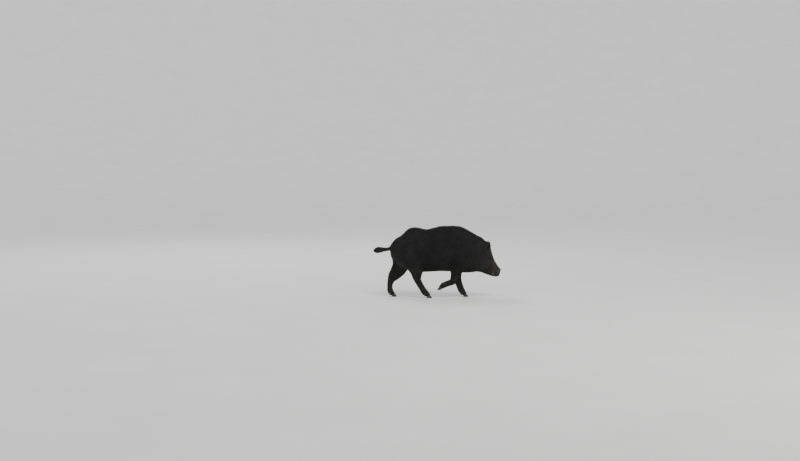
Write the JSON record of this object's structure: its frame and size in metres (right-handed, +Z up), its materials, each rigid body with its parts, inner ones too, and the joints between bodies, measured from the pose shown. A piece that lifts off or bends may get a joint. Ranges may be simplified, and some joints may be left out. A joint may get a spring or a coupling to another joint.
{
  "type": "wild boar",
  "caption": "Life-size still figure of an adult wild boar in mid-walk, head low, mane over the shoulders, one forefoot lifted, tail held out level.",
  "frame": {"origin": "on the floor under the middle of the bounding box, nose to tail tip and side to side", "axes": "+X the way the boar faces, +Y to its left side, +Z up"},
  "size_m": [1.4623, 0.3436, 0.8197],
  "materials": {
    "coat": "coarse near-black bristle coat",
    "coat_warm": "short dark brown hair",
    "horn": "dark matte horn",
    "ivory": "yellowed ivory",
    "eye_dark": "wet dark brown"
  },
  "bodies": {
    "root": {"trunk": "coat", "neck": "coat", "head": "coat", "lower_jaw": "coat_warm", "tail": "coat_warm", "leg_front_left": "coat_warm", "leg_front_right": "coat_warm", "leg_hind_left": "coat_warm", "leg_hind_right": "coat_warm", "ear_left": "coat_warm", "ear_right": "coat_warm", "eye_left": "eye_dark", "eye_right": "eye_dark", "tusk_left": "ivory", "tusk_right": "ivory", "hoof_hind_left_l": "horn", "hoof_hind_left_r": "horn", "hoof_hind_right_l": "horn", "hoof_hind_right_r": "horn", "hoof_front_left_l": "horn", "hoof_front_left_r": "horn", "hoof_front_right_l": "horn", "hoof_front_right_r": "horn"}
  },
  "joints": []
}
